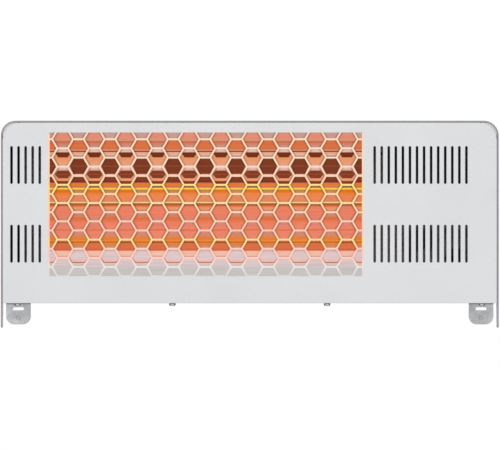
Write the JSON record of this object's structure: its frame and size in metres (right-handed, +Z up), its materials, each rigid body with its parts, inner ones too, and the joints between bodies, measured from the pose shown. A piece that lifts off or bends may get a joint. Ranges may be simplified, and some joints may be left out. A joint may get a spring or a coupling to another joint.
{
  "type": "infrared heater",
  "caption": "Wall-mounted infrared heater: folded sheet body with a quartz lamp in a faceted reflector behind a hexagon guard, tilting between two wall brackets.",
  "frame": {"origin": "midway between the slots of the two bracket tabs, on the wall plane", "axes": "+X to the right seen from the front, +Y into the wall, +Z up; the front faces -Y"},
  "size_m": [0.6, 0.122, 0.2494],
  "materials": {
    "silver_paint": "satin silver-grey powder coat",
    "zinc_sheet": "galvanised",
    "bright_steel": "bright zinc plated",
    "guard_steel": "plated and polished",
    "mirror_aluminium": "polished",
    "quartz": "clear quartz, lit",
    "filament": "glowing",
    "ceramic": "unglazed steatite",
    "rubber": "matt",
    "sleeve": "woven glass sleeve",
    "board_dark": "dark solder resist",
    "black_plastic": "moulded",
    "plain_aluminium": "extruded",
    "brass_part": "turned"
  },
  "bodies": {
    "wall_brackets": {"wall_bracket_left": "zinc_sheet", "wall_bracket_right": "zinc_sheet"},
    "heater": {"hood": "silver_paint", "fascia": "silver_paint", "fascia_screws": "bright_steel", "fascia_clinch_nuts": "bright_steel", "guard_mesh": "guard_steel", "guard_rail_top": "zinc_sheet", "guard_rail_bottom": "zinc_sheet", "guard_screws": "bright_steel", "chassis": "zinc_sheet", "hood_screws": "silver_paint", "back_panel": "silver_paint", "back_panel_screws": "bright_steel", "reflector": "mirror_aluminium", "end_plate_left": "mirror_aluminium", "end_plate_right": "mirror_aluminium", "end_plate_rivets": "plain_aluminium", "reflector_posts": "bright_steel", "heat_shield": "zinc_sheet", "lamp_tube": "quartz", "lamp_element": "filament", "lamp_end_caps": "ceramic", "lamp_holder_left": "bright_steel", "lamp_holder_right": "bright_steel", "lamp_holder_screws": "bright_steel", "lamp_lead_left": "sleeve", "lamp_lead_right": "sleeve", "lead_grommets": "rubber", "control_board": "board_dark", "board_standoffs": "brass_part", "relay": "black_plastic", "heatsink": "plain_aluminium", "triac": "black_plastic", "terminal_block": "ceramic", "terminal_screws": "brass_part", "earth_stud": "brass_part", "thermal_cutout": "brass_part", "cable_gland": "black_plastic", "gland_locknut": "black_plastic", "cable_clamp": "zinc_sheet", "supply_wires": "sleeve", "pivot_bolts": "bright_steel", "pivot_spacers": "black_plastic", "pivot_nuts": "bright_steel", "lock_screws": "bright_steel", "lock_spacers": "black_plastic", "lock_nuts": "bright_steel"}
  },
  "joints": [
    {"name": "tilt", "type": "hinge", "parent": "wall_brackets", "child": "heater", "pos_m": [0, -0.047, 0.034], "axis": [1, 0, 0], "range_deg": [0, 30]}
  ]
}
